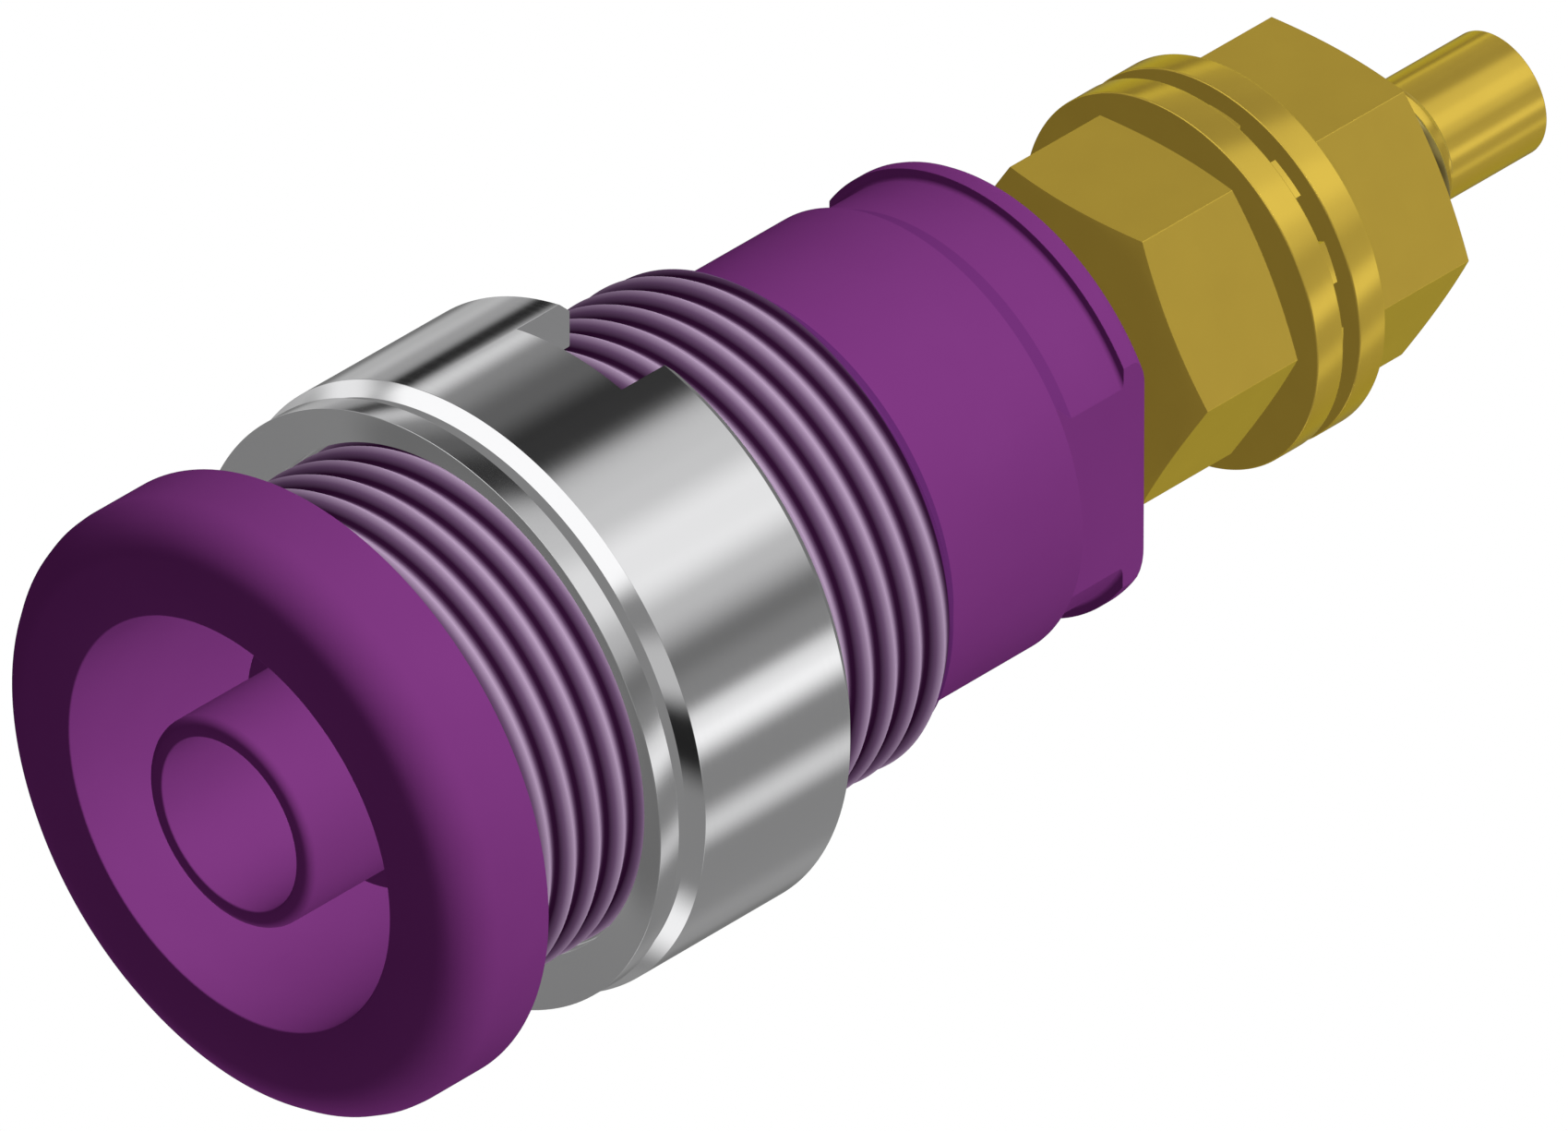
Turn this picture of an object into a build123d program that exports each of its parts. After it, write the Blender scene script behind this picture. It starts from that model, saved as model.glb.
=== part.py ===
from build123d import *

import math
import os

# Safety banana socket, 4 mm, for a panel: a shrouded mouth in front, an M12 sleeve with its ring nut,
# and an M4 terminal stud with its washers and nut behind.
# Millimetres, +Z up. The socket's axis is Y: plugs come in from -Y and the terminal stud points along +Y.
# The origin is on the axis, in the plane where the back of the head seats on the panel.

# Insulating body from front to back, with lengths along the axis. The back of the head lies at y = 0.
thread_diameter = 12.0
thread_length = 13.52
head_overhang = 1.25
head_thickness = 2.5
head_edge_round = 1.0
barrel_step = 0.65
barrel_length = 4.62
taper_length = 0.5
neck_step = 0.27
neck_length = 1.6
neck_round = 0.1
collar_length = 0.64
collar_round = 0.35
wrench_flat_depth = 0.85

# Ring-shaped cavity for the plug's shroud, open at the mouth
sleeve_wall = 1.15
mouth_flare = 0.05
mouth_lead_in = 0.68
cavity_floor_wall = 1.1

# Centre boss in the cavity, flush with the front of the head, with a narrower tip
boss_tip_length = 3.7
boss_tip_wall = 0.45
boss_tip_round = 0.2
boss_wall = 0.55
boss_lip = 0.2

# Contact, turned from hexagon bar: socket tube, waist behind the body, hexagon, threaded stud and end pin
plug_diameter = 4.0
plug_clearance = 0.05
plug_depth = 20.0
bore_lead_in = 0.25
drill_point_angle = 118.0
tube_wall = 0.6
tube_clearance = 0.05
waist_diameter = 4.0
hexagon_gap = 2.27
hexagon_across_flats = 7.0
hexagon_length = 3.1
stud_diameter = 4.0
stud_length = 6.75
stud_chamfer = 0.5
pin_length = 2.96

# Chamfer on the corners of the hexagon and of the terminal nut
corner_chamfer_angle = 15.0
corner_chamfer_inset = 0.06

# Dished washer and ring nut on the sleeve. The ring nut is as wide as the head.
panel_gap = 3.5
dished_inset = 0.15
dished_rim = 0.57
dished_bore_edge = 0.37
dished_height = 0.91
dished_clearance = 0.07
ring_nut_length = 5.0
ring_nut_chamfer = 0.3
slot_width = 3.2
slot_depth = 1.6
slot_count = 2

# Washers and nut on the stud
washer_clearance = 0.15
washer_width = 2.35
washer_thickness = 0.8
lock_ring_width = 1.15
lock_washer_thickness = 0.5
tooth_length = 0.7
tooth_count = 12
tooth_angle = 15.0
first_tooth_angle = 25.5
terminal_nut_length = 3.2

# Clearance of both threads on the radius, and between pieces that move apart along the axis
thread_clearance = 0.05
seat_gap = 0.01

# Radii, from the axis outwards
plug_radius = plug_diameter / 2
tube_radius = plug_radius + tube_wall
tube_seat_radius = tube_radius + tube_clearance
tip_bore_radius = plug_radius + plug_clearance
tip_radius = tip_bore_radius + boss_tip_wall
boss_radius = tube_seat_radius + boss_wall
thread_radius = thread_diameter / 2
head_radius = thread_radius + head_overhang
cavity_radius = thread_radius - sleeve_wall
mouth_radius = cavity_radius + mouth_flare
barrel_radius = thread_radius - barrel_step
neck_radius = barrel_radius - neck_step
waist_radius = waist_diameter / 2
stud_radius = stud_diameter / 2
pin_radius = stud_radius - stud_chamfer
washer_bore_radius = stud_radius + washer_clearance
washer_radius = washer_bore_radius + washer_width
lock_ring_radius = washer_bore_radius + lock_ring_width
tooth_radius = lock_ring_radius + tooth_length

# Places along the axis
head_front = -head_thickness
boss_shoulder = head_front + boss_tip_length
contact_front = boss_shoulder + boss_lip
plug_bore_end = head_front + plug_depth
thread_end = thread_length
barrel_end = thread_end + barrel_length
cavity_floor = barrel_end - cavity_floor_wall
neck_start = barrel_end + taper_length
collar_front = neck_start + neck_length
collar_end = collar_front + collar_length
hexagon_front = collar_end + hexagon_gap
hexagon_end = hexagon_front + hexagon_length
stud_end = hexagon_end + stud_length
pin_start = stud_end + stud_chamfer
pin_end = pin_start + pin_length
dished_back = panel_gap + dished_height
ring_nut_front = dished_back + seat_gap
ring_nut_back = ring_nut_front + ring_nut_length
front_washer_place = hexagon_end
lock_washer_place = front_washer_place + washer_thickness
rear_washer_place = lock_washer_place + lock_washer_thickness + seat_gap
terminal_nut_front = rear_washer_place + washer_thickness + seat_gap
terminal_nut_back = terminal_nut_front + terminal_nut_length


def section(*corners):
    """A flat half section, from corners given as (distance from the axis, place along the axis)."""
    return make_face(Polyline(*corners, close=True))


def rounded(half_section, corner, radius):
    """The half section with its corner at the given point rounded."""
    nearest = half_section.vertices().sort_by_distance((*corner, 0))[0]
    return fillet(nearest, radius)


def turned(half_section):
    """The solid that a half section sweeps about the socket's axis."""
    return revolve(half_section, Axis.Y)


def bar(outline, front, back):
    """A straight bar along the axis, from an outline drawn in the XZ plane."""
    return extrude(Plane.XZ.offset(-front) * outline, front - back)


def hexagon():
    """The hexagon outline of the contact and of its nut, with flats above and below."""
    return RegularPolygon(hexagon_across_flats / 2, 6, major_radius=False)


def corner_trim(face, inwards):
    """What the lathe takes off a hexagon's corners at one face. Inwards is +1 where the metal lies towards +Y."""
    face_radius = hexagon_across_flats / 2 - corner_chamfer_inset
    outside = hexagon_across_flats
    slope = math.tan(math.radians(corner_chamfer_angle))
    cone_end = face + inwards * slope * (outside - face_radius)
    return turned(section((face_radius, face), (outside, face - inwards), (outside, cone_end)))


def insulating_body():
    """The moulded body: head, sleeve, barrel, neck and collar, with the boss inside the cavity."""
    profile = section(
        (tip_bore_radius, head_front),
        (head_radius, head_front),
        (head_radius, 0),
        (thread_radius, 0),
        (thread_radius, thread_end),
        (barrel_radius, thread_end),
        (barrel_radius, barrel_end),
        (neck_radius, neck_start),
        (neck_radius, collar_front),
        (barrel_radius, collar_front),
        (barrel_radius, collar_end),
        (tube_seat_radius, collar_end),
        (tube_seat_radius, contact_front),
        (tip_bore_radius, contact_front),
    )
    profile -= section(
        (tip_radius, head_front),
        (mouth_radius, head_front),
        (cavity_radius, head_front + mouth_lead_in),
        (cavity_radius, cavity_floor),
        (boss_radius, cavity_floor),
        (boss_radius, boss_shoulder),
        (tip_radius, boss_shoulder),
    )
    profile = rounded(profile, (head_radius, head_front), head_edge_round)
    profile = rounded(profile, (tip_radius, head_front), boss_tip_round)
    profile = rounded(profile, (neck_radius, collar_front), neck_round)
    profile = rounded(profile, (barrel_radius, collar_end), collar_round)
    body = turned(profile)

    flats_length = collar_end - barrel_end
    flats_middle = barrel_end + flats_length / 2
    cutter_width = 2 * barrel_radius
    for side in (-1, 1):
        cutter_centre = side * (barrel_radius - wrench_flat_depth + cutter_width / 2)
        body -= Pos(cutter_centre, flats_middle, 0) * Box(cutter_width, flats_length, cutter_width)
    return body


def contact():
    """The turned contact: socket tube, waist, hexagon, stud and end pin, with the plug's bore in its front."""
    drill_point = plug_radius / math.tan(math.radians(drill_point_angle / 2))
    tube = bar(Circle(tube_radius), contact_front, collar_end)
    waist = bar(Circle(waist_radius), collar_end, hexagon_front)
    wrench_part = bar(hexagon(), hexagon_front, hexagon_end)
    wrench_part -= corner_trim(hexagon_front, 1)
    wrench_part -= corner_trim(hexagon_end, -1)
    stud_and_pin = turned(
        section(
            (0, hexagon_end),
            (stud_radius, hexagon_end),
            (stud_radius, stud_end),
            (pin_radius, pin_start),
            (pin_radius, pin_end),
            (0, pin_end),
        )
    )
    plug_bore = turned(
        section(
            (0, contact_front),
            (plug_radius + bore_lead_in, contact_front),
            (plug_radius, contact_front + bore_lead_in),
            (plug_radius, plug_bore_end),
            (0, plug_bore_end + drill_point),
        )
    )
    return tube + waist + wrench_part + stud_and_pin - plug_bore


def dished_washer():
    """The conical washer that meets the panel with its rim and the ring nut with its bore."""
    rim_radius = head_radius - dished_inset
    bore_radius = thread_radius + dished_clearance
    return turned(
        section(
            (rim_radius, panel_gap),
            (rim_radius, panel_gap + dished_rim),
            (bore_radius, dished_back),
            (bore_radius, dished_back - dished_bore_edge),
        )
    )


def ring_nut():
    """The round nut on the sleeve, with wrench slots cut through its wall from the back."""
    outer_radius = head_radius
    bore_radius = thread_radius + thread_clearance
    edge_radius = outer_radius - ring_nut_chamfer
    nut = turned(
        section(
            (bore_radius, ring_nut_front),
            (edge_radius, ring_nut_front),
            (outer_radius, ring_nut_front + ring_nut_chamfer),
            (outer_radius, ring_nut_back - ring_nut_chamfer),
            (edge_radius, ring_nut_back),
            (bore_radius, ring_nut_back),
        )
    )
    slot = Pos(0, ring_nut_back - slot_depth / 2, outer_radius / 2) * Box(slot_width, slot_depth, outer_radius)
    for index in range(slot_count):
        nut -= Rot(0, index * 360 / slot_count, 0) * slot
    return nut


def flat_washer(front):
    """One flat washer on the stud."""
    return bar(Circle(washer_radius) - Circle(washer_bore_radius), front, front + washer_thickness)


def lock_washer():
    """The star washer: a ring with square-ended teeth round its outside."""
    pitch = 360 / tooth_count
    reach = 2 * tooth_radius
    gap_half_width = reach * math.tan(math.radians((pitch - tooth_angle) / 2))
    gap = make_face(Polyline((0, 0), (reach, -gap_half_width), (reach, gap_half_width), close=True))
    gaps = PolarLocations(0, tooth_count, first_tooth_angle + pitch / 2) * gap
    outline = Circle(tooth_radius) - gaps + Circle(lock_ring_radius) - Circle(washer_bore_radius)
    return bar(outline, lock_washer_place, lock_washer_place + lock_washer_thickness)


def terminal_nut():
    """The hexagon nut on the stud."""
    nut = bar(hexagon() - Circle(stud_radius + thread_clearance), terminal_nut_front, terminal_nut_back)
    return nut - corner_trim(terminal_nut_front, 1) - corner_trim(terminal_nut_back, -1)


pieces = {
    "insulating_body": insulating_body(),
    "contact": contact(),
    "dished_washer": dished_washer(),
    "ring_nut": ring_nut(),
    "front_washer": flat_washer(front_washer_place),
    "lock_washer": lock_washer(),
    "rear_washer": flat_washer(rear_washer_place),
    "terminal_nut": terminal_nut(),
}

os.makedirs("parts", exist_ok=True)
for name, piece in pieces.items():
    export_step(piece, f"parts/{name}.step")
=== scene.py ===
import math

import bmesh
import bpy
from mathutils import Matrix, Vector


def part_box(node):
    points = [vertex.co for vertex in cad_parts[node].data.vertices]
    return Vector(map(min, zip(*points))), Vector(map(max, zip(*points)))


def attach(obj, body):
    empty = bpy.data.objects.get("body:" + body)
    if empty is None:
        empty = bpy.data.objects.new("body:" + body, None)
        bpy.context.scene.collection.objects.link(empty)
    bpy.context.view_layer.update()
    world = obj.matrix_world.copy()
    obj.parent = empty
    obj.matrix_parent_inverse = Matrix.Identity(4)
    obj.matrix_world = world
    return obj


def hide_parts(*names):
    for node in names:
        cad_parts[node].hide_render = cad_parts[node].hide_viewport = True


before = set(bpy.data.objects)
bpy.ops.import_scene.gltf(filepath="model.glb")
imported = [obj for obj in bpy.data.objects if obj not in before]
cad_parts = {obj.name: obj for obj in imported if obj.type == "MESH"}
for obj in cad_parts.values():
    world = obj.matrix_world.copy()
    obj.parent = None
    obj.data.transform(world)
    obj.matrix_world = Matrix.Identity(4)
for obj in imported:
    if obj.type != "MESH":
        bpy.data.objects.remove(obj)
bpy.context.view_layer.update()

# Looks of a panel-mounting safety banana socket: a moulded violet body with its moulded thread, a plated
# ring nut and its dished washer on that thread, and a gold-plated contact with washers and a nut on its
# stud. The socket's axis is Y, and the mouth faces -Y. A piece is drawn in millimetres, and is scaled to
# metres when it is finished. The floor and the reflectors are in metres.
millimetre = 0.001
segments = 192
thread_rows = 12


# Places and radii that the frame gives

def extent(node):
    """A node's front and back along the axis, and its reach across X, in millimetres."""
    low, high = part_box(node)
    return low.y / millimetre, high.y / millimetre, high.x / millimetre


head_front, collar_back, head_radius = extent("insulating_body")
contact_front, pin_back, _ = extent("contact")
dished_front, dished_back, dished_radius = extent("dished_washer")
ring_nut_front, ring_nut_back, ring_nut_radius = extent("ring_nut")
front_washer_front, front_washer_back, washer_radius = extent("front_washer")
lock_washer_front, lock_washer_back, tooth_radius = extent("lock_washer")
rear_washer_front, rear_washer_back, _ = extent("rear_washer")
terminal_nut_front, terminal_nut_back, _ = extent("terminal_nut")

# Moulded body
head_seat = 0.0
head_round = 1.0
thread_radius = 6.0
thread_root = 5.76
thread_pitch = 0.75
thread_back = 13.52
thread_chamfer = 0.65
crest_at_x = -0.256
barrel_radius = 5.35
barrel_back = 18.14
neck_radius = 5.08
neck_front = 18.64
neck_round = 0.1
collar_front = 20.24
collar_round = 0.35
wrench_flat = 4.5
mouth_radius = 4.9
mouth_lead_in = 0.68
cavity_radius = 4.85
cavity_floor = 17.04
cavity_round = 0.15
boss_radius = 3.2
boss_shoulder = 1.2
boss_tip_radius = 2.5
boss_tip_round = 0.2
boss_bore = 2.05
contact_seat = 2.65

# Contact
tube_radius = 2.6
waist_radius = 1.85
plug_radius = 2.0
bore_lead_in = 0.25
plug_bore_back = 17.5
drill_point_angle = 118.0
hexagon_front = 23.15
hexagon_flats = 7.0
hexagon_face_radius = 3.44
hexagon_corner_round = 0.02
corner_chamfer_angle = 15.0
stud_radius = 2.0
stud_root = 1.6
stud_pitch = 0.7
stud_back = 33.5
stud_chamfer = 0.5
pin_radius = 1.5

# Washers and nuts
dished_rim = 0.57
dished_bore = 6.07
dished_bore_edge = 0.37
ring_nut_bore = 6.05
ring_nut_chamfer = 0.3
ring_nut_edge = 0.02
slot_width = 3.2
slot_depth = 1.6
washer_bore = 2.15
lock_ring_radius = 3.3
tooth_count = 12
tooth_share = 0.5
tooth_points = 24
first_tooth_angle = 25.5
terminal_nut_bore = 2.05
countersink = 0.35

# Broken edges, and what cutting and joining need
edge_round = 0.04
fine_edge = 0.015
cut_margin = 1.0
join_overlap = 0.25
weld_distance = 0.001

# Numbers of a Mix node's sockets for colours, which share their names with those for numbers
mix_under = 6
mix_over = 7
mix_result = 2


# Small helpers

def colour(code):
    """The linear colour of an sRGB hex value."""
    linear = []
    for start in (1, 3, 5):
        channel = int(code[start:start + 2], 16) / 255
        if channel <= 0.04045:
            linear.append(channel / 12.92)
        else:
            linear.append(((channel + 0.055) / 1.055) ** 2.4)
    return (*linear, 1.0)


def add_node(tree, kind, inputs=(), **settings):
    """Adds a node to a tree, with its settings, and fills or links its inputs, by name or in order.

    A node given as an input is linked by its first output.
    """
    node = tree.nodes.new(kind)
    for name, setting in settings.items():
        setattr(node, name, setting)
    if not isinstance(inputs, dict):
        inputs = dict(enumerate(inputs))
    for key, value in inputs.items():
        if isinstance(value, bpy.types.Node):
            value = value.outputs[0]
        if isinstance(value, bpy.types.NodeSocket):
            tree.links.new(value, node.inputs[key])
        else:
            node.inputs[key].default_value = value
    return node


def new_object(name, data):
    """Links a mesh, a lamp or a camera to the scene as an object at the origin."""
    piece = bpy.data.objects.new(name, data)
    bpy.context.scene.collection.objects.link(piece)
    return piece


def evaluated_mesh(piece):
    """A plain mesh of a piece with its modifiers applied. The piece itself is removed."""
    graph = bpy.context.evaluated_depsgraph_get()
    mesh = bpy.data.meshes.new_from_object(piece.evaluated_get(graph))
    bpy.data.objects.remove(piece)
    return mesh


def mesh_from(shape):
    """A mesh from a bmesh, which is freed."""
    bmesh.ops.recalc_face_normals(shape, faces=shape.faces)
    mesh = bpy.data.meshes.new("shape")
    shape.to_mesh(mesh)
    shape.free()
    return mesh


# Turned and cut forms

def rounded_path(*corners):
    """Points of a path through corners of (distance from the axis, place, rounding radius)."""
    arc_steps = 6
    places = [Vector(corner[:2]) for corner in corners]
    path = []
    for index, corner in enumerate(corners):
        here = places[index]
        if len(corner) < 3:
            path.append(here)
            continue
        to_last = (places[index - 1] - here).normalized()
        to_next = (places[(index + 1) % len(places)] - here).normalized()
        half_angle = to_last.angle(to_next) / 2
        centre = here + (to_last + to_next).normalized() * corner[2] / math.sin(half_angle)
        reach = corner[2] / math.tan(half_angle)
        first_spoke = here + to_last * reach - centre
        last_spoke = here + to_next * reach - centre
        for step in range(arc_steps + 1):
            spoke = first_spoke.lerp(last_spoke, step / arc_steps).normalized()
            path.append(centre + spoke * corner[2])
    return path


def turned(shape, path, closed=True, steps=segments):
    """Sweeps a path about the axis into a bmesh. A point on the axis stays one point."""
    on_axis = 1e-6
    rings = []
    for distance, place in path:
        ring = []
        for step in range(steps if distance > on_axis else 1):
            turn = math.tau * step / steps
            ring.append(shape.verts.new((distance * math.cos(turn), place, distance * math.sin(turn))))
        rings.append(ring)
    following_rings = rings[1:] + rings[:1] if closed else rings[1:]
    for ring, following in zip(rings, following_rings):
        for step in range(steps):
            corners = [
                ring[step % len(ring)],
                ring[(step + 1) % steps % len(ring)],
                following[(step + 1) % steps % len(following)],
                following[step % len(following)],
            ]
            corners = list(dict.fromkeys(corners))
            if len(corners) > 2:
                shape.faces.new(corners)


def turned_mesh(*corners):
    """A closed turned mesh from the corners of its half section."""
    shape = bmesh.new()
    turned(shape, rounded_path(*corners))
    return mesh_from(shape)


def combined(first, second, operation):
    """The Boolean of two closed meshes."""
    host = new_object("host", first)
    tool = new_object("tool", second)
    modifier = host.modifiers.new("combine", "BOOLEAN")
    modifier.operation = operation
    modifier.solver = "MANIFOLD"
    modifier.object = tool
    mesh = evaluated_mesh(host)
    bpy.data.objects.remove(tool)
    return mesh


def block(low, high):
    """A box between two corners, for cutting."""
    shape = bmesh.new()
    bmesh.ops.create_cube(shape, size=1.0)
    for vertex in shape.verts:
        sides = zip(low, high, vertex.co)
        vertex.co = [near + (far - near) * (side + 0.5) for near, far, side in sides]
    return mesh_from(shape)


def hexagon_bar(front, back):
    """A bar of hexagon section along the axis, with its long edges just broken."""
    corner_radius = hexagon_flats / math.sqrt(3)
    corners = []
    for index in range(6):
        angle = math.tau * index / 6
        x = corner_radius * math.cos(angle)
        z = corner_radius * math.sin(angle)
        corners.append((x, z, hexagon_corner_round))
    outline = rounded_path(*corners)
    shape = bmesh.new()
    ends = [[shape.verts.new((x, place, z)) for x, z in outline] for place in (front, back)]
    for index in range(len(outline)):
        after = (index + 1) % len(outline)
        shape.faces.new([ends[0][index], ends[0][after], ends[1][after], ends[1][index]])
    shape.faces.new(ends[0])
    shape.faces.new(ends[1])
    return mesh_from(shape)


def chamfered_hexagon(front, back, bore=None):
    """A hexagon with its corners turned off in a cone at both faces. A bore is countersunk at both ends."""
    bar_margin = 0.5
    clear_of_corners = 1.3
    outside = hexagon_flats / 2 * clear_of_corners
    fall = (outside - hexagon_face_radius) * math.tan(math.radians(corner_chamfer_angle))
    corners = [
        (hexagon_face_radius, front),
        (outside, front + fall),
        (outside, back - fall),
        (hexagon_face_radius, back),
    ]
    if bore:
        corners += [(bore + countersink, back), (bore, back - countersink)]
        corners += [(bore, front + countersink), (bore + countersink, front)]
    else:
        corners += [(0, back), (0, front)]
    bar = hexagon_bar(front - bar_margin, back + bar_margin)
    return combined(bar, turned_mesh(*corners), "INTERSECT")


# Geometry Nodes trees, and the screw thread that one of them makes

def new_tree(name, inputs):
    """A Geometry Nodes tree with named inputs, and what those inputs give."""
    tree = bpy.data.node_groups.new(name, "GeometryNodeTree")
    for label, kind in inputs.items():
        tree.interface.new_socket(label, in_out="INPUT", socket_type="NodeSocket" + kind)
    tree.interface.new_socket("Geometry", in_out="OUTPUT", socket_type="NodeSocketGeometry")
    return tree, add_node(tree, "NodeGroupInput").outputs


def end_tree(tree, geometry, material):
    """Ends a tree: doubled points are merged, instances are made real and the material is set."""
    welding = {"Geometry": geometry, "Distance": weld_distance}
    welded = add_node(tree, "GeometryNodeMergeByDistance", welding)
    realized = add_node(tree, "GeometryNodeRealizeInstances", {"Geometry": welded})
    coating = {"Geometry": realized, "Material": material}
    finished = add_node(tree, "GeometryNodeSetMaterial", coating)
    add_node(tree, "NodeGroupOutput", {"Geometry": finished})
    return tree


def grown(name, tree, values):
    """The plain mesh that a Geometry Nodes tree makes from the given values of its inputs."""
    piece = new_object(name, bpy.data.meshes.new(name))
    modifier = piece.modifiers.new("grow", "NODES")
    modifier.node_group = tree
    for socket in tree.interface.items_tree:
        if socket.in_out == "INPUT":
            modifier[socket.identifier] = values[socket.name]
    return evaluated_mesh(piece)


def thread_tree():
    """A helical thread about Y, from named sizes. Its rows follow the helix, so no crest crosses them."""
    tree, given = new_tree("screw_thread", {
        "Crest Radius": "Float",
        "Root Radius": "Float",
        "Pitch": "Float",
        "First Crest": "Float",
        "End": "Float",
        "End Chamfer": "Float",
        "Turns": "Int",
        "Columns": "Int",
        "Rows Per Turn": "Int",
        "Material": "Material",
    })
    crest = given["Crest Radius"]
    root = given["Root Radius"]
    turns = given["Turns"]
    columns = add_node(tree, "ShaderNodeMath", [given["Columns"], 1], operation="ADD")
    rows = add_node(tree, "ShaderNodeMath", [turns, given["Rows Per Turn"], 1], operation="MULTIPLY_ADD")
    sizes = {"Size X": 1.0, "Size Y": 1.0, "Vertices X": columns, "Vertices Y": rows}
    grid = add_node(tree, "GeometryNodeMeshGrid", sizes)
    position = add_node(tree, "GeometryNodeInputPosition")
    grid_place = add_node(tree, "ShaderNodeSeparateXYZ", [position]).outputs
    turn = add_node(tree, "ShaderNodeMath", [grid_place["X"], 0.5], operation="ADD")
    along = add_node(tree, "ShaderNodeMath", [grid_place["Y"], 0.5], operation="ADD")

    # Place along the axis: each row drops one pitch in a turn
    climb = add_node(tree, "ShaderNodeMath", [along, turns], operation="MULTIPLY")
    climb_here = add_node(tree, "ShaderNodeMath", [climb, turn], operation="SUBTRACT")
    climbing = [climb_here, given["Pitch"], given["First Crest"]]
    place = add_node(tree, "ShaderNodeMath", climbing, operation="MULTIPLY_ADD")

    # Radius: a flank between straight and rounded, from crest to root and back
    share = add_node(tree, "ShaderNodeMath", [climb], operation="FRACT")
    past_root = add_node(tree, "ShaderNodeMath", [share, 0.5], operation="SUBTRACT")
    from_root = add_node(tree, "ShaderNodeMath", [past_root], operation="ABSOLUTE")
    straight = add_node(tree, "ShaderNodeMath", [from_root, 2.0], operation="MULTIPLY")
    rounded = add_node(tree, "ShaderNodeMapRange", {"Value": straight}, interpolation_type="SMOOTHSTEP")
    both = add_node(tree, "ShaderNodeMath", [straight, rounded], operation="ADD")
    height = add_node(tree, "ShaderNodeMath", [both, 0.5], operation="MULTIPLY")
    depth = add_node(tree, "ShaderNodeMath", [crest, root], operation="SUBTRACT")
    thread = add_node(tree, "ShaderNodeMath", [height, depth, root], operation="MULTIPLY_ADD")

    # Chamfer: the crest is cut down by as much as the place is past the chamfer's start
    past_end = add_node(tree, "ShaderNodeMath", [place, given["End"]], operation="SUBTRACT")
    past_start = add_node(tree, "ShaderNodeMath", [past_end, given["End Chamfer"]], operation="ADD")
    cut = add_node(tree, "ShaderNodeMath", [past_start, 0.0], operation="MAXIMUM")
    limit = add_node(tree, "ShaderNodeMath", [crest, cut], operation="SUBTRACT")
    radius = add_node(tree, "ShaderNodeMath", [thread, limit], operation="MINIMUM")

    angle = add_node(tree, "ShaderNodeMath", [turn, math.tau], operation="MULTIPLY")
    cosine = add_node(tree, "ShaderNodeMath", [angle], operation="COSINE")
    sine = add_node(tree, "ShaderNodeMath", [angle], operation="SINE")
    x = add_node(tree, "ShaderNodeMath", [radius, cosine], operation="MULTIPLY")
    z = add_node(tree, "ShaderNodeMath", [radius, sine], operation="MULTIPLY")
    target = add_node(tree, "ShaderNodeCombineXYZ", {"X": x, "Y": place, "Z": z})
    wrapped = add_node(tree, "GeometryNodeSetPosition", {"Geometry": grid, "Position": target})
    return end_tree(tree, wrapped, given["Material"])


def threaded(thread, front, back, *paths):
    """A thread cut square at front and back, closed by turned paths that end in those two planes."""
    spare_turns = 2
    same_plane = 1e-4
    pitch = thread["Pitch"]
    pitches_to_front = math.floor((front - thread["First Crest"]) / pitch)
    values = dict(thread)
    values["First Crest"] = thread["First Crest"] + pitch * pitches_to_front
    values["Turns"] = math.ceil((back - front) / pitch) + spare_turns
    values["Columns"] = segments
    values["Rows Per Turn"] = thread_rows
    shape = bmesh.new()
    shape.from_mesh(grown("thread", screw_thread, values))
    for place, way in ((front, -1), (back, 1)):
        everything = shape.verts[:] + shape.edges[:] + shape.faces[:]
        cut = {"geom": everything, "plane_co": (0, place, 0), "plane_no": (0, way, 0), "clear_outer": True}
        bmesh.ops.bisect_plane(shape, **cut)
    for path in paths:
        turned(shape, path, closed=False)
    for place in (front, back):
        rims = []
        for edge in shape.edges:
            if edge.is_boundary and all(abs(end.co.y - place) < same_plane for end in edge.verts):
                rims.append(edge)
        bmesh.ops.triangle_fill(shape, use_beauty=True, edges=rims, normal=(0, 1, 0))
    return mesh_from(shape)


# Finishes

def finish(name, base, metallic, roughness):
    """A material with its shader's own sockets set.

    Its point is in millimetres, so the Scale of a noise on it is the noise's grains in a millimetre.
    """
    material = bpy.data.materials.new(name)
    material.use_nodes = True
    tree = material.node_tree
    shader = tree.nodes["Principled BSDF"]
    shader.inputs["Base Color"].default_value = colour(base)
    shader.inputs["Metallic"].default_value = metallic
    shader.inputs["Roughness"].default_value = roughness
    coordinates = add_node(tree, "ShaderNodeTexCoord")
    scale = {"Vector": coordinates.outputs["Object"], "Scale": (1 / millimetre,) * 3}
    point = add_node(tree, "ShaderNodeMapping", scale).outputs[0]
    return material, tree, shader, point


def distance_from_axis(tree, point):
    """The distance of a point from the socket's axis, and its place along it."""
    x, place, z = add_node(tree, "ShaderNodeSeparateXYZ", [point]).outputs
    z_squared = add_node(tree, "ShaderNodeMath", [z, z], operation="MULTIPLY")
    squares = add_node(tree, "ShaderNodeMath", [x, x, z_squared], operation="MULTIPLY_ADD")
    return add_node(tree, "ShaderNodeMath", [squares], operation="SQRT"), place


def lathe_lines(tree, point, lines):
    """Turning marks, rings on faces and round cylinders alike, with a given number of them in a millimetre.

    They are drawn coarser than real ones, so that they show.
    """
    radius, place = distance_from_axis(tree, point)
    run = add_node(tree, "ShaderNodeMath", [radius, place], operation="ADD")
    scaled = add_node(tree, "ShaderNodeMath", [run, lines], operation="MULTIPLY")
    inputs = {"W": scaled, "Scale": 1.0, "Detail": 2.0}
    return add_node(tree, "ShaderNodeTexNoise", inputs, noise_dimensions="1D")


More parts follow.
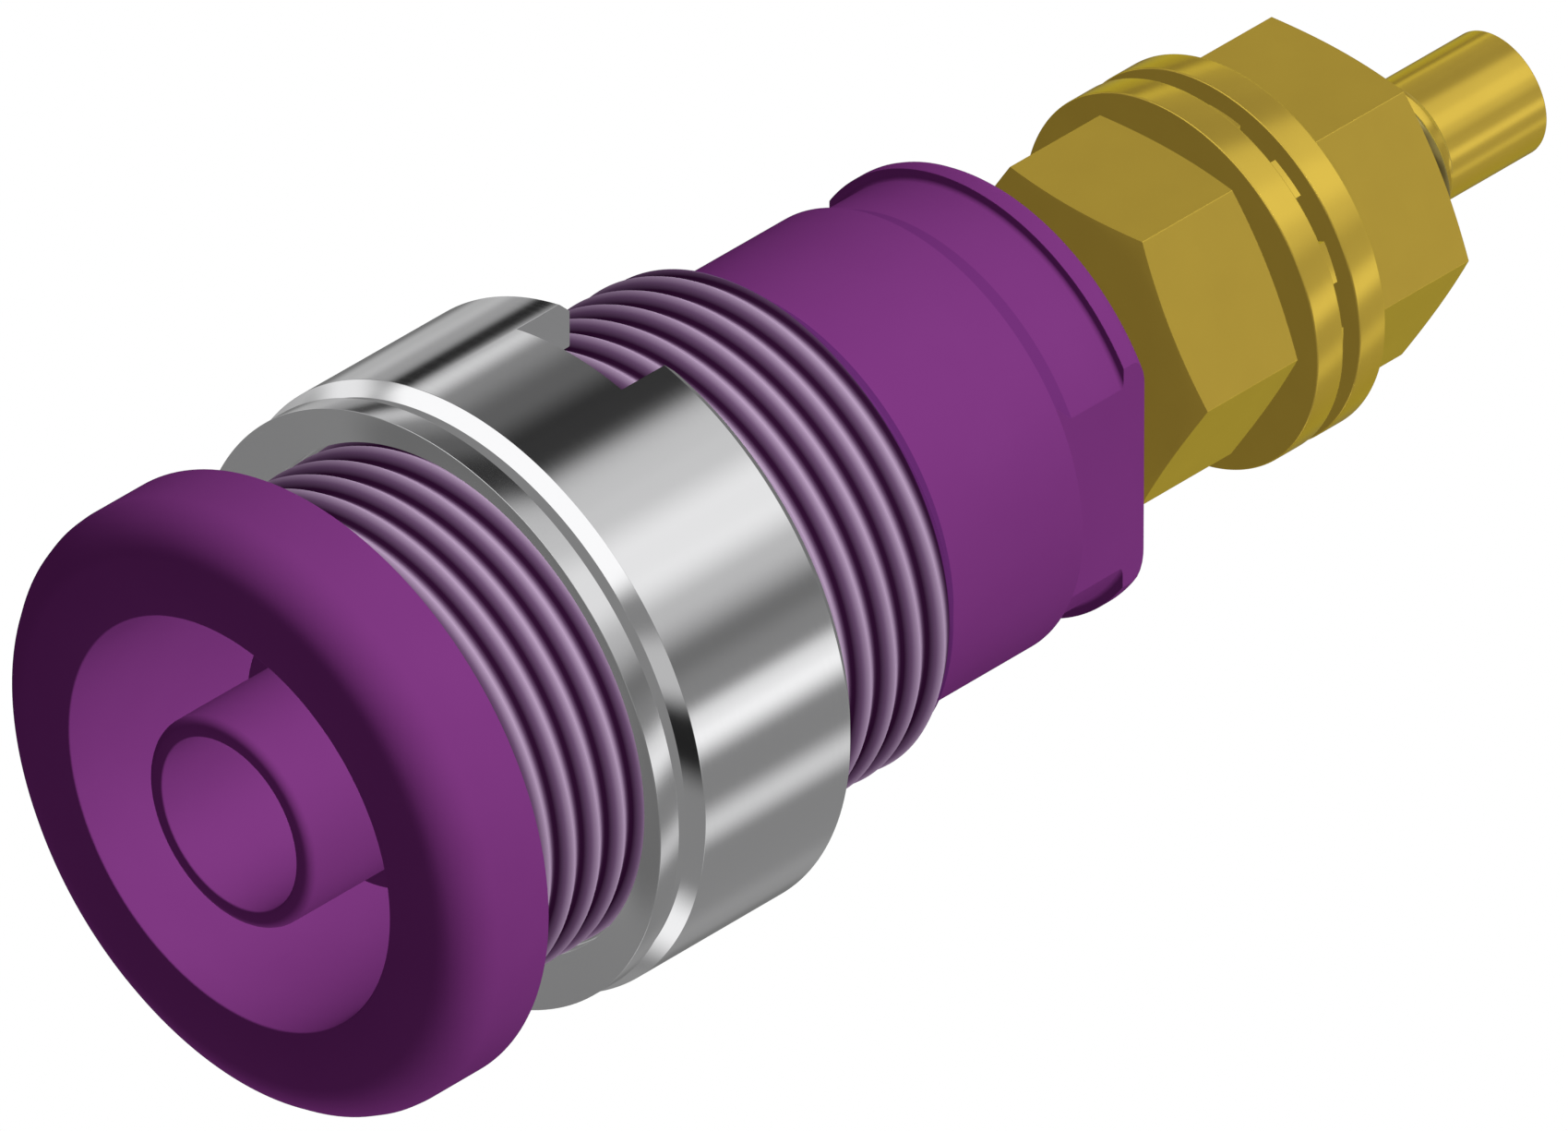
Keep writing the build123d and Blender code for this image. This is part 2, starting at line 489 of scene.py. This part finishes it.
def between(tree, value, low, high, soft):
    """1 where a value lies between two limits, with soft edges."""
    rising = {"Value": value, "From Min": low, "From Max": low + soft}
    falling = {"Value": value, "From Min": high, "From Max": high + soft, "To Min": 1.0, "To Max": 0.0}
    rise = add_node(tree, "ShaderNodeMapRange", rising)
    fall = add_node(tree, "ShaderNodeMapRange", falling)
    return add_node(tree, "ShaderNodeMath", [rise, fall], operation="MULTIPLY")


def helix_shades(tree, point, first_crest, pitch, crest, shades):
    """The painted highlight and shade of a thread, from (share of the pitch, colour) pairs between one
    crest and the next.
    """
    x, place, z = add_node(tree, "ShaderNodeSeparateXYZ", [point]).outputs
    around = add_node(tree, "ShaderNodeMath", [z, x], operation="ARCTAN2")
    turn = add_node(tree, "ShaderNodeMath", [around, math.tau], operation="DIVIDE")
    from_first = add_node(tree, "ShaderNodeMath", [place, first_crest], operation="SUBTRACT")
    pitches = add_node(tree, "ShaderNodeMath", [from_first, pitch], operation="DIVIDE")
    climb = add_node(tree, "ShaderNodeMath", [turn, pitches], operation="ADD")
    past_crest = add_node(tree, "ShaderNodeMath", [climb], operation="FRACT")
    ramp = add_node(tree, "ShaderNodeValToRGB", [past_crest])
    for crest_end in ramp.color_ramp.elements:
        crest_end.color = colour(crest)
    for share, code in shades:
        ramp.color_ramp.elements.new(share).color = colour(code)
    return ramp.outputs["Color"]


def layer_colours(tree, shader, base, *layers):
    """Gives a shader a base colour with others laid over it in turn, each where its mask is 1."""
    result = colour(base)
    for mask, over in layers:
        over = colour(over) if isinstance(over, str) else over
        inputs = {0: mask, mix_under: result, mix_over: over}
        result = add_node(tree, "ShaderNodeMix", inputs, data_type="RGBA").outputs[mix_result]
    tree.links.new(result, shader.inputs["Base Color"])


def roughen(tree, shader, pattern, middle, spread):
    """Lets a pattern vary the roughness by a little either way."""
    limits = {"Value": pattern, "To Min": middle - spread, "To Max": middle + spread}
    varied = add_node(tree, "ShaderNodeMapRange", limits).outputs[0]
    tree.links.new(varied, shader.inputs["Roughness"])


def raise_surface(tree, shader, pattern, strength, distance):
    """Lets a pattern raise the surface as bump, with its height in metres."""
    inputs = {"Height": pattern, "Strength": strength, "Distance": distance}
    bump = add_node(tree, "ShaderNodeBump", inputs)
    tree.links.new(bump.outputs[0], shader.inputs["Normal"])


def violet_polyamide():
    """Moulded polyamide, dyed through: matt, with a fine mould grain.

    The thread has a painted highlight on its crests and painted shade down its flanks into its roots. Its
    end chamfer and the taper have painted shade too. The grain is drawn coarser than a real one, so that it
    shows.
    """
    roughness = 0.45
    material, tree, shader, point = finish("violet_polyamide", "#803A83", metallic=0.0, roughness=roughness)
    shader.inputs["Specular IOR Level"].default_value = 0.0
    cloud = add_node(tree, "ShaderNodeTexNoise", {"Vector": point, "Scale": 0.5, "Detail": 2.0})

    # Painted shade on the taper, but not on the wrench flats cut into it, and on the thread's end chamfer
    edge_margin = 0.005
    soft = 0.01
    radius, place = distance_from_axis(tree, point)
    x = add_node(tree, "ShaderNodeSeparateXYZ", [point]).outputs["X"]
    across = add_node(tree, "ShaderNodeMath", [x], operation="ABSOLUTE")
    inside_flats = [across, wrench_flat - edge_margin]
    beside_flats = add_node(tree, "ShaderNodeMath", inside_flats, operation="LESS_THAN")
    behind_barrel = between(tree, place, barrel_back, neck_front, soft)
    taper = add_node(tree, "ShaderNodeMath", [behind_barrel, beside_flats], operation="MULTIPLY")
    chamfer = between(tree, place, thread_back + edge_margin, thread_back + thread_chamfer, soft)

    # Thread: painted highlight on the crests, painted shade down the flanks, darkest in the roots
    below_root = 0.1
    above_crest = 0.02
    past_seat = 0.03
    past_thread = 0.1
    rim = between(tree, radius, thread_root - below_root, thread_radius + above_crest, soft)
    along = between(tree, place, head_seat + past_seat, thread_back + past_thread, soft * 2)
    on_thread = add_node(tree, "ShaderNodeMath", [rim, along], operation="MULTIPLY")
    # Painted highlight and shade that follow the helix, from the crest through the root to the next crest
    shades = [(0.39, "#644968"), (0.54, "#341435"), (0.62, "#341435"), (0.8, "#7C5E82")]
    thread = helix_shades(tree, point, crest_at_x, thread_pitch, "#C1A9C7", shades)
    # Over a tone that varies at random: painted shade on the taper and the end chamfer, then the thread's
    # painted highlight and shade
    layers = [(cloud, "#823C85"), (taper, "#74337A"), (chamfer, "#6A2F74"), (on_thread, thread)]
    layer_colours(tree, shader, "#7E3881", *layers)

    grain = add_node(tree, "ShaderNodeTexNoise", {"Vector": point, "Scale": 16.0, "Detail": 3.0})
    roughen(tree, shader, grain, middle=roughness, spread=0.05)
    raise_surface(tree, shader, grain, strength=0.12, distance=0.00001)
    return material


def plated_gold():
    """Brass turned from bar and gold plated: a soft, low-contrast shine, half matt, along turning marks.

    It is drawn half metallic, which keeps its yellow soft. The stud's thread has painted shade that makes
    it darker than the plain faces, most of all in its roots.
    """
    roughness = 0.18
    material, tree, shader, point = finish("plated_gold", "#D4B74A", metallic=0.5, roughness=roughness)
    shader.inputs["Specular IOR Level"].default_value = 0.0
    shader.inputs["Specular Tint"].default_value = colour("#FFFF95")
    cloud = add_node(tree, "ShaderNodeTexNoise", {"Vector": point, "Scale": 0.8, "Detail": 2.0})

    # Painted shade on the stud's thread, following its helix and darkest in its roots
    below_root = 0.05
    above_crest = 0.02
    soft = 0.01
    radius, place = distance_from_axis(tree, point)
    rim = between(tree, radius, stud_root - below_root, stud_radius + above_crest, soft)
    along = between(tree, place, front_washer_front, stud_back - stud_chamfer, soft)
    on_stud = add_node(tree, "ShaderNodeMath", [rim, along], operation="MULTIPLY")
    shades = [(0.3, "#6A5C30"), (0.58, "#2E2600"), (0.8, "#6B5E30")]
    thread = helix_shades(tree, point, 0.0, stud_pitch, "#A59658", shades)
    layer_colours(tree, shader, "#D0B348", (cloud, "#D8BB4B"), (on_stud, thread))

    marks = lathe_lines(tree, point, lines=14.0)
    roughen(tree, shader, marks, middle=roughness, spread=0.03)
    raise_surface(tree, shader, marks, strength=0.1, distance=0.000004)
    return material


def plated_nickel():
    """Brass turned from bar and bright nickel plated: nearly a mirror, with painted shade on its slots'
    walls.
    """
    roughness = 0.1
    bright = "#CFCFD0"
    material, tree, shader, point = finish("plated_nickel", bright, metallic=1.0, roughness=roughness)
    # Painted shade: a darker grey on the slots' walls stands in for the dimmer reflection they catch
    wall_inside = 0.012
    wall_outside = 0.002
    soft = 0.003
    half_slot = slot_width / 2
    slot_front = ring_nut_back - slot_depth
    x, place, _ = add_node(tree, "ShaderNodeSeparateXYZ", [point]).outputs
    across = add_node(tree, "ShaderNodeMath", [x], operation="ABSOLUTE")
    wall = between(tree, across, half_slot - wall_inside, half_slot + wall_outside, soft)
    depths = [place, slot_front - wall_outside]
    in_slot = add_node(tree, "ShaderNodeMath", depths, operation="GREATER_THAN")
    painted_slot_shade = add_node(tree, "ShaderNodeMath", [wall, in_slot], operation="MULTIPLY")
    layer_colours(tree, shader, bright, (painted_slot_shade, "#848485"))
    marks = lathe_lines(tree, point, lines=10.0)
    roughen(tree, shader, marks, middle=roughness, spread=0.02)
    raise_surface(tree, shader, marks, strength=0.05, distance=0.000002)
    return material


def plated_steel():
    """Spring steel, pressed and plated: close to the nut's finish, a little greyer and softer."""
    roughness = 0.16
    material, tree, shader, point = finish("plated_steel", "#C8C8C9", metallic=1.0, roughness=roughness)
    cloud = add_node(tree, "ShaderNodeTexNoise", {"Vector": point, "Scale": 1.2, "Detail": 3.0})
    roughen(tree, shader, cloud, middle=roughness, spread=0.03)
    grain = add_node(tree, "ShaderNodeTexNoise", {"Vector": point, "Scale": 8.0, "Detail": 2.0})
    raise_surface(tree, shader, grain, strength=0.05, distance=0.000004)
    return material


# Pieces

def finished_piece(name, mesh, material, body, node):
    """Scales a mesh to metres, shades it, and says what it stands for.

    The photograph's pieces neither light nor mirror one another, so these don't either.
    """
    smooth_angle = 32.0
    for vertex in mesh.vertices:
        vertex.co *= millimetre
    mesh.materials.clear()
    mesh.materials.append(material)
    mesh.shade_smooth()
    mesh.set_sharp_from_angle(angle=math.radians(smooth_angle))
    draft = new_object(name + "_draft", mesh)
    weighted = draft.modifiers.new("weigh", "WEIGHTED_NORMAL")
    weighted.keep_sharp = True
    weighted.weight = 100
    piece = new_object(name, evaluated_mesh(draft))
    piece.data.name = name
    piece.visible_glossy = False
    piece.visible_diffuse = False
    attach(piece, body)
    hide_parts(node)
    return piece


def moulded_body():
    """The violet body in one piece, from the head's seat round the mouth, cavity and bore to the barrel.

    The thread runs from the seat to an end chamfer that falls to the barrel. The closing path stays clear
    of the thread's rims, and flat rings fill the gaps between them.
    """
    seat_gap = 0.04
    run_out_gap = 0.03
    past_root = 0.01
    chamfer_back = thread_back + thread_chamfer
    run_out = thread_back + thread_radius - thread_root + past_root
    path = rounded_path(
        (thread_radius + seat_gap, head_seat),
        (head_radius, head_seat, edge_round),
        (head_radius, head_front, head_round),
        (mouth_radius, head_front, edge_round),
        (cavity_radius, head_front + mouth_lead_in),
        (cavity_radius, cavity_floor, cavity_round),
        (boss_radius, cavity_floor, cavity_round),
        (boss_radius, boss_shoulder, edge_round),
        (boss_tip_radius, boss_shoulder),
        (boss_tip_radius, head_front, boss_tip_round),
        (boss_bore, head_front, edge_round),
        (boss_bore, contact_front),
        (contact_seat, contact_front),
        (contact_seat, collar_back, edge_round),
        (barrel_radius, collar_back, collar_round),
        (barrel_radius, collar_front, fine_edge),
        (neck_radius, collar_front, neck_round),
        (neck_radius, neck_front),
        (barrel_radius, barrel_back),
        (barrel_radius, chamfer_back),
        (thread_root - run_out_gap, run_out),
    )
    thread = {
        "Crest Radius": thread_radius,
        "Root Radius": thread_root,
        "Pitch": thread_pitch,
        "First Crest": crest_at_x,
        "End": chamfer_back,
        "End Chamfer": thread_chamfer,
        "Material": violet,
    }
    mesh = threaded(thread, head_seat, run_out, path)
    for side in (-1, 1):
        across = sorted((side * wrench_flat, side * head_radius))
        low = (across[0], barrel_back, -head_radius)
        high = (across[1], collar_back + cut_margin, head_radius)
        mesh = combined(mesh, block(low, high), "DIFFERENCE")
    return mesh


def turned_contact():
    """The contact in one piece: socket tube with the plug's bore, waist, hexagon, stud and end pin."""
    run_out_margin = 0.03
    below_root = 0.1
    half_point_angle = math.radians(drill_point_angle / 2)
    drill_point = plug_radius / math.tan(half_point_angle)
    tube = turned_mesh(
        (tube_radius, contact_front, edge_round),
        (tube_radius, collar_back, edge_round),
        (waist_radius, collar_back),
        (waist_radius, hexagon_front + join_overlap),
        (0, hexagon_front + join_overlap),
        (0, plug_bore_back + drill_point),
        (plug_radius, plug_bore_back),
        (plug_radius, contact_front + bore_lead_in),
        (plug_radius + bore_lead_in, contact_front),
    )
    hexagon_part = chamfered_hexagon(hexagon_front, front_washer_front)
    thread_front = front_washer_front - join_overlap
    thread_end = stud_back - run_out_margin
    front_path = rounded_path((0, thread_front), (stud_root - below_root, thread_front))
    back_path = rounded_path(
        (pin_radius, thread_end),
        (pin_radius, pin_back, edge_round),
        (0, pin_back),
    )
    thread = {
        "Crest Radius": stud_radius,
        "Root Radius": stud_root,
        "Pitch": stud_pitch,
        "First Crest": 0.0,
        "End": stud_back,
        "End Chamfer": stud_chamfer,
        "Material": gold,
    }
    stud = threaded(thread, thread_front, thread_end, front_path, back_path)
    return combined(combined(tube, hexagon_part, "UNION"), stud, "UNION")


def dished_washer():
    """The conical washer, pressed from sheet."""
    return turned_mesh(
        (dished_radius, dished_front, fine_edge),
        (dished_radius, dished_front + dished_rim, fine_edge),
        (dished_bore, dished_back, fine_edge),
        (dished_bore, dished_back - dished_bore_edge, fine_edge),
    )


def ring_nut():
    """The ring nut, with a wrench slot cut from the back on each side."""
    clear_of_rim = 1.1
    edge_radius = ring_nut_radius - ring_nut_chamfer
    mesh = turned_mesh(
        (ring_nut_bore, ring_nut_front, edge_round),
        (edge_radius, ring_nut_front, ring_nut_edge),
        (ring_nut_radius, ring_nut_front + ring_nut_chamfer, ring_nut_edge),
        (ring_nut_radius, ring_nut_back - ring_nut_chamfer, ring_nut_edge),
        (edge_radius, ring_nut_back, ring_nut_edge),
        (ring_nut_bore, ring_nut_back, edge_round),
    )
    for side in (-1, 1):
        upright = sorted((side * ring_nut_bore / 2, side * ring_nut_radius * clear_of_rim))
        low = (-slot_width / 2, ring_nut_back - slot_depth, upright[0])
        high = (slot_width / 2, ring_nut_back + cut_margin, upright[1])
        mesh = combined(mesh, block(low, high), "DIFFERENCE")
    return mesh


def flat_washer(front, back):
    """A flat washer, turned and broken at its edges."""
    return turned_mesh(
        (washer_radius, front, edge_round),
        (washer_radius, back, edge_round),
        (washer_bore, back, edge_round),
        (washer_bore, front, edge_round),
    )


def star_tree():
    """A flat ring with square-ended teeth round it, from named sizes."""
    tree, given = new_tree("toothed_ring", {
        "Tooth Radius": "Float",
        "Ring Radius": "Float",
        "Bore Radius": "Float",
        "Front": "Float",
        "Thickness": "Float",
        "Teeth": "Int",
        "Tooth Share": "Float",
        "First Tooth Turn": "Float",
        "Points Per Tooth": "Int",
        "Material": "Material",
    })
    teeth = given["Teeth"]
    points = given["Points Per Tooth"]
    tooth = given["Tooth Radius"]

    # Two loops of points, the toothed outline and the bore, and the flat face between them
    count = add_node(tree, "ShaderNodeMath", [teeth, points], operation="MULTIPLY")
    index = add_node(tree, "GeometryNodeInputIndex")
    step = add_node(tree, "ShaderNodeMath", [index, 0.5], operation="ADD")
    teeth_passed = add_node(tree, "ShaderNodeMath", [step, points], operation="DIVIDE")
    share = add_node(tree, "ShaderNodeMath", [teeth_passed], operation="FRACT")
    in_gap = add_node(tree, "ShaderNodeMath", [share, given["Tooth Share"]], operation="GREATER_THAN")
    drop = add_node(tree, "ShaderNodeMath", [given["Ring Radius"], tooth], operation="SUBTRACT")
    radius = add_node(tree, "ShaderNodeMath", [in_gap, drop, tooth], operation="MULTIPLY_ADD")
    part_turn = add_node(tree, "ShaderNodeMath", [index, count], operation="DIVIDE")
    turn = add_node(tree, "ShaderNodeMath", [part_turn, given["First Tooth Turn"]], operation="ADD")
    angle = add_node(tree, "ShaderNodeMath", [turn, math.tau], operation="MULTIPLY")
    x = add_node(tree, "ShaderNodeMath", [angle], operation="COSINE")
    y = add_node(tree, "ShaderNodeMath", [angle], operation="SINE")
    unit = add_node(tree, "ShaderNodeCombineXYZ", {"X": x, "Y": y})
    circle = add_node(tree, "GeometryNodeCurvePrimitiveCircle", {"Resolution": count, "Radius": 1.0})
    loops = add_node(tree, "GeometryNodeJoinGeometry")
    for size in (radius, given["Bore Radius"]):
        target = add_node(tree, "ShaderNodeVectorMath", {0: unit, "Scale": size}, operation="SCALE")
        loop = add_node(tree, "GeometryNodeSetPosition", {"Geometry": circle, "Position": target})
        tree.links.new(loop.outputs[0], loops.inputs[0])
    face = add_node(tree, "GeometryNodeFillCurve", {"Curve": loops})

    # The face raised to a solid, closed by its own underside
    upwards = add_node(tree, "ShaderNodeCombineXYZ", {"Z": 1.0})
    rise = {"Mesh": face, "Offset": upwards, "Offset Scale": given["Thickness"], "Individual": False}
    raised = add_node(tree, "GeometryNodeExtrudeMesh", rise)
    underside = add_node(tree, "GeometryNodeFlipFaces", {"Mesh": face})
    solid = add_node(tree, "GeometryNodeJoinGeometry")
    for part in (raised, underside):
        tree.links.new(part.outputs[0], solid.inputs[0])

    # The solid laid across the axis, at its place along it
    position = add_node(tree, "GeometryNodeInputPosition")
    x, y, height = add_node(tree, "ShaderNodeSeparateXYZ", [position]).outputs
    place = add_node(tree, "ShaderNodeMath", [height, given["Front"]], operation="ADD")
    target = add_node(tree, "ShaderNodeCombineXYZ", {"X": x, "Y": place, "Z": y})
    placed = add_node(tree, "GeometryNodeSetPosition", {"Geometry": solid, "Position": target})
    return end_tree(tree, placed, given["Material"])


def star_washer():
    """The lock washer."""
    full_turn = 360
    tooth_angle = full_turn / tooth_count * tooth_share
    sizes = {
        "Tooth Radius": tooth_radius,
        "Ring Radius": lock_ring_radius,
        "Bore Radius": washer_bore,
        "Front": lock_washer_front,
        "Thickness": lock_washer_back - lock_washer_front,
        "Teeth": tooth_count,
        "Tooth Share": tooth_share,
        "First Tooth Turn": (first_tooth_angle - tooth_angle / 2) / full_turn,
        "Points Per Tooth": tooth_points,
        "Material": gold,
    }
    shape = bmesh.new()
    shape.from_mesh(grown("star", star_tree(), sizes))
    return mesh_from(shape)


screw_thread = thread_tree()
violet = violet_polyamide()
gold = plated_gold()
nickel = plated_nickel()
steel = plated_steel()

finished_piece("moulded_body", moulded_body(), violet, "socket", "insulating_body")
finished_piece("turned_contact", turned_contact(), gold, "socket", "contact")
cone_washer = dished_washer()
finished_piece("pressed_cone_washer", cone_washer, steel, "ring_washer", "dished_washer")
finished_piece("slotted_ring_nut", ring_nut(), nickel, "ring_nut", "ring_nut")
front_flat = flat_washer(front_washer_front, front_washer_back)
finished_piece("front_flat_washer", front_flat, gold, "socket", "front_washer")
finished_piece("star_washer", star_washer(), gold, "socket", "lock_washer")
rear_flat = flat_washer(rear_washer_front, rear_washer_back)
finished_piece("rear_flat_washer", rear_flat, gold, "terminal_washer", "rear_washer")
stud_nut = chamfered_hexagon(terminal_nut_front, terminal_nut_back, terminal_nut_bore)
finished_piece("stud_nut", stud_nut, gold, "terminal_nut", "terminal_nut")


# Floor, background, lamps and reflectors

def seen_directly(tree):
    """1 for what the camera and reflections see, and 0 for light that falls on matt surfaces."""
    path = add_node(tree, "ShaderNodeLightPath").outputs
    rays = [path["Is Camera Ray"], path["Is Glossy Ray"]]
    return add_node(tree, "ShaderNodeMath", rays, operation="MAXIMUM")


def white_background(ambient):
    """A white background, which lights the object only with a dim and faintly violet ambient level."""
    world = bpy.data.worlds.new("studio")
    world.use_nodes = True
    tree = world.node_tree
    tree.nodes.clear()
    dim = add_node(tree, "ShaderNodeBackground", {"Color": colour("#FFE4FF"), "Strength": ambient})
    white = add_node(tree, "ShaderNodeBackground", {"Color": colour("#FFFFFF"), "Strength": 1.0})
    choice = add_node(tree, "ShaderNodeMixShader", [seen_directly(tree), dim, white])
    add_node(tree, "ShaderNodeOutputWorld", {"Surface": choice})
    bpy.context.scene.world = world


def bare_material(name):
    """A material with an empty tree, for the floor and the reflectors."""
    material = bpy.data.materials.new(name)
    material.use_nodes = True
    material.node_tree.nodes.clear()
    return material, material.node_tree


def pale_floor(drop, half_width):
    """A wide white floor, well below the part, so that the part's shadow falls outside the picture."""
    shape = bmesh.new()
    corners = [(-1, -1), (1, -1), (1, 1), (-1, 1)]
    shape.faces.new([shape.verts.new((x * half_width, y * half_width, -drop)) for x, y in corners])
    mesh = mesh_from(shape)
    material, tree = bare_material("white_floor")
    paint = add_node(tree, "ShaderNodeBsdfDiffuse", {"Color": colour("#F2F2F2")})
    glow = add_node(tree, "ShaderNodeEmission", {"Color": colour("#FFFFFF"), "Strength": 1.0})
    choice = add_node(tree, "ShaderNodeMixShader", [seen_directly(tree), paint, glow])
    add_node(tree, "ShaderNodeOutputMaterial", {"Surface": choice})
    mesh.materials.append(material)
    floor = new_object("floor", mesh)
    floor.visible_diffuse = False


def direction(azimuth, forward):
    """A direction from its angle round the axis, from +X towards +Z, and its lean towards +Y."""
    around = math.radians(azimuth)
    return Vector((math.cos(around), forward, math.sin(around))).normalized()


def soft_sun(name, towards, strength, angle):
    """A large soft lamp, far off, for matt surfaces. It casts no shadow and shows in no reflection."""
    lamp = bpy.data.lights.new(name, "SUN")
    lamp.energy = strength
    lamp.angle = math.radians(angle)
    lamp.use_shadow = False
    holder = new_object(name, lamp)
    holder.rotation_euler = towards.to_track_quat("Z", "Y").to_euler()
    holder.visible_glossy = False


def reflection_drum(radius, base, strips):
    """A long drum of studio reflectors round the socket's axis, which only reflections see.

    Each strip lies along the drum and brightens or darkens its base level. A strip is an angle round the
    axis and a half width, both in degrees, a front and a back end in drum radii, and a strength.
    """
    sides = 96
    length = 12.0
    soft_side = 14.0
    soft_end = 0.1
    darkest = 0.02
    shape = bmesh.new()
    turned(shape, [(radius, -radius * length), (radius, radius * length)], closed=False, steps=sides)
    mesh = mesh_from(shape)
    material, tree = bare_material("reflectors")
    coordinates = add_node(tree, "ShaderNodeTexCoord").outputs["Object"]
    x, place, z = add_node(tree, "ShaderNodeSeparateXYZ", [coordinates]).outputs
    around = add_node(tree, "ShaderNodeMath", [z, x], operation="ARCTAN2")
    along = add_node(tree, "ShaderNodeMath", [place, radius], operation="DIVIDE")
    level = base
    for azimuth, half_width, front, back, strength in strips:
        offset = add_node(tree, "ShaderNodeMath", [around, math.radians(azimuth)], operation="SUBTRACT")
        nearest = add_node(tree, "ShaderNodeMath", [offset, math.pi, -math.pi], operation="WRAP")
        aside = add_node(tree, "ShaderNodeMath", [nearest], operation="ABSOLUTE")
        outer = math.radians(half_width)
        inner = math.radians(max(half_width - soft_side, 0.0))
        fading = {"Value": aside, "From Min": outer, "From Max": inner}
        across = add_node(tree, "ShaderNodeMapRange", fading, interpolation_type="SMOOTHSTEP")
        lengthwise = between(tree, along, front, back, soft_end)
        shine = add_node(tree, "ShaderNodeMath", [across, lengthwise], operation="MULTIPLY")
        level = add_node(tree, "ShaderNodeMath", [shine, strength, level], operation="MULTIPLY_ADD")
    level = add_node(tree, "ShaderNodeMath", [level, darkest], operation="MAXIMUM")
    glow = add_node(tree, "ShaderNodeEmission", {"Color": colour("#FFFFFF"), "Strength": level})
    add_node(tree, "ShaderNodeOutputMaterial", {"Surface": glow})
    material.cycles.emission_sampling = "NONE"
    mesh.materials.append(material)
    drum = new_object("reflectors", mesh)
    drum.visible_camera = False
    drum.visible_diffuse = False
    drum.visible_shadow = False
    drum.visible_transmission = False


white_background(ambient=0.16)
pale_floor(drop=0.65, half_width=6.0)
soft_sun("key", direction(azimuth=52.0, forward=0.14), strength=2.65, angle=20.0)
soft_sun("fill", direction(azimuth=-77.0, forward=0.0), strength=1.3, angle=30.0)
soft_sun("back", direction(azimuth=200.0, forward=1.6), strength=1.0, angle=30.0)

# Side strips light the round sides. They start just in front of the drum's middle and run far behind it.
# Each has its angle, its half width and its strength.
side_front = -0.1
side_back = 1.6
side_strips = [
    (-142.0, 34.0, -0.13),
    (-98.0, 14.0, 0.05),
    (-46.0, 12.0, 0.6),
    (-11.0, 12.0, 1.1),
    (-3.0, 6.0, 0.38),
    (16.0, 9.0, -0.1),
    (34.0, 16.0, 0.42),
    (52.0, 18.0, 0.9),
    (72.0, 17.0, 0.55),
    (87.0, 11.0, 0.4),
    (106.0, 18.0, -0.28),
    (126.0, 17.0, -0.16),
    (155.0, 10.0, 0.62),
    (167.0, 8.0, -0.46),
    (177.0, 6.0, 0.12),
    (194.0, 18.0, 0.35),
]

# Front strips light the front chamfers. Each has its angle, its half width, its two ends and its strength.
front_strips = [
    (104.0, 64.0, -1.9, -0.4, 1.2),
    (12.0, 20.0, -1.9, -0.9, 0.42),
    (-16.0, 20.0, -1.9, -0.75, -0.31),
    (-78.0, 16.0, -0.55, -0.1, 1.05),
    (173.0, 16.0, -0.42, 0.0, 0.9),
]
strips = []
for azimuth, half_width, strength in side_strips:
    strips.append((azimuth, half_width, side_front, side_back, strength))
reflection_drum(radius=0.6, base=0.33, strips=strips + front_strips)

# Camera: the photograph is a true isometric drawing at 50 pixels a millimetre, so the lens is very long
frame_width = 33.98
sensor_width = 36.0
lens = 1200.0
look_at = Vector((-0.346, 14.696, -1.960)) * millimetre
towards_camera = Vector((1, -1, 1)).normalized()
camera_data = bpy.data.cameras.new("camera")
camera_data.sensor_width = sensor_width
camera_data.lens = lens
camera_data.clip_end = 100.0
camera = new_object("camera", camera_data)
camera.location = look_at + towards_camera * frame_width * millimetre * lens / sensor_width
camera.rotation_euler = towards_camera.to_track_quat("Z", "Y").to_euler()
bpy.context.scene.camera = camera
bpy.context.scene.view_settings.view_transform = "Standard"
